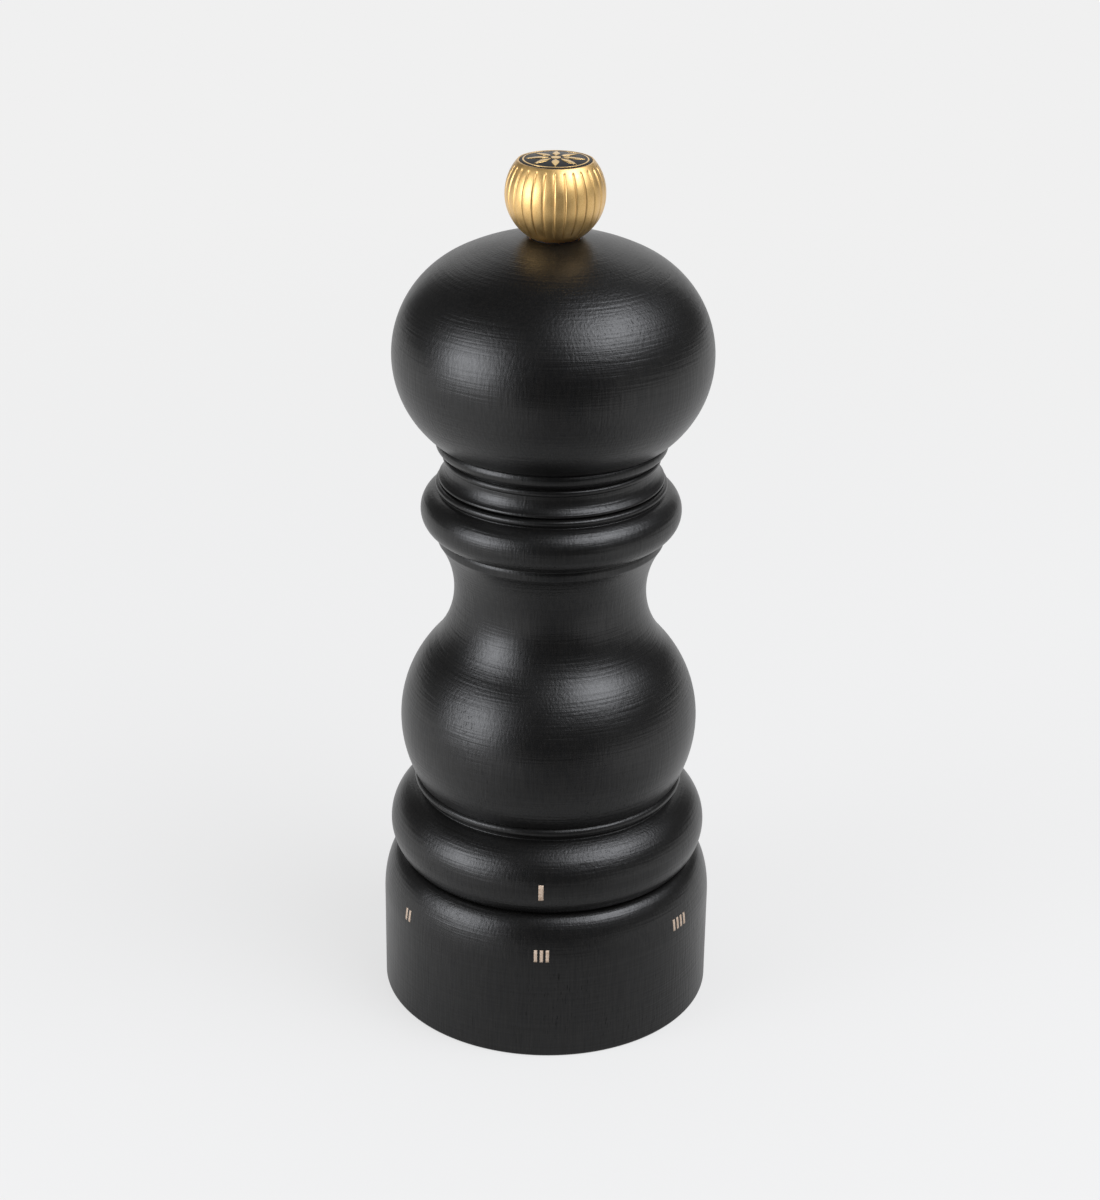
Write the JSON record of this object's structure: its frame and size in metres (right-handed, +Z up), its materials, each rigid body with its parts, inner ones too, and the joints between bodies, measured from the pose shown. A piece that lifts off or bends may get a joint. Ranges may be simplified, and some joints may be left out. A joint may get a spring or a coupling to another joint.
{
  "type": "pepper mill",
  "caption": "Turned black wooden pepper mill with a ball head, a fluted gold screw knob and a base ring that turns to set the grind.",
  "frame": {"origin": "centre of the base ring's underside, the face the mill stands on", "axes": "+Z up along the turning axis; -Y towards the index bar on the barrel's foot roll, where the grind marks are read"},
  "size_m": [0.0688, 0.0688, 0.1791],
  "materials": {
    "lacquered_wood": "satin black lacquer over turned beech",
    "black_plastic": "moulded, matt",
    "plated_steel": "zinc plated",
    "burr_steel": "hardened, machined teeth",
    "shaft_steel": "drawn square bar",
    "brass_fittings": "turned brass",
    "gold_metal": "satin gold plating",
    "enamel": "gloss black enamel disc"
  },
  "bodies": {
    "barrel": {"barrel": "lacquered_wood", "mech_housing": "black_plastic", "housing_screws": "plated_steel", "outer_burr": "burr_steel", "detent_ball": "plated_steel", "detent_spring": "plated_steel"},
    "grind_ring": {"base_ring": "lacquered_wood", "ring_liner": "black_plastic"},
    "bridge": {"adjuster_bridge": "black_plastic", "thrust_washer": "brass_fittings"},
    "spindle": {"spindle": "shaft_steel", "spindle_bush": "black_plastic", "spindle_clip": "plated_steel", "burr_spring": "plated_steel"},
    "cone_burr": {"inner_burr": "burr_steel"},
    "head": {"head": "lacquered_wood", "drive_plate": "plated_steel", "plate_screws": "plated_steel", "head_ferrule": "brass_fittings"},
    "knob_washer": {"knob_washer": "black_plastic"},
    "knob": {"knob_shell": "gold_metal", "knob_insert": "brass_fittings", "cap_disc": "enamel"}
  },
  "joints": [
    {"name": "grind_ring_turn", "type": "hinge", "parent": "barrel", "child": "grind_ring", "pos_m": [0, 0, 0.0158], "axis": [0, 0, 1], "range_deg": [-165, 110]},
    {"name": "bridge_lift", "type": "slide", "parent": "barrel", "child": "bridge", "axis": [0, 0, 1], "range_m": [-0.00076, 0.00051]},
    {"name": "spindle_turn", "type": "hinge", "parent": "barrel", "child": "spindle", "pos_m": [0, 0, 0.0358], "axis": [0, 0, 1], "continuous": true},
    {"name": "burr_lift", "type": "slide", "parent": "spindle", "child": "cone_burr", "axis": [0, 0, 1], "range_m": [-0.00076, 0.00051], "deforming": ["burr_spring"]},
    {"name": "head_lift", "type": "slide", "parent": "spindle", "child": "head", "axis": [0, 0, 1], "range_m": [0, 0.075]},
    {"name": "knob_turn", "type": "hinge", "parent": "head", "child": "knob_washer", "pos_m": [0, 0, 0.1635], "axis": [0, 0, 1], "range_deg": [0, 3600]},
    {"name": "knob_rise", "type": "slide", "parent": "knob_washer", "child": "knob", "axis": [0, 0, 1], "range_m": [0, 0.00799]}
  ],
  "couplings": [
    {"joint": "bridge_lift", "follows": "grind_ring_turn", "m_per_rad": 0.0002604},
    {"joint": "burr_lift", "follows": "grind_ring_turn", "m_per_rad": 0.0002604},
    {"joint": "knob_turn", "follows": "knob_rise", "rad_per_m": 7854}
  ]
}
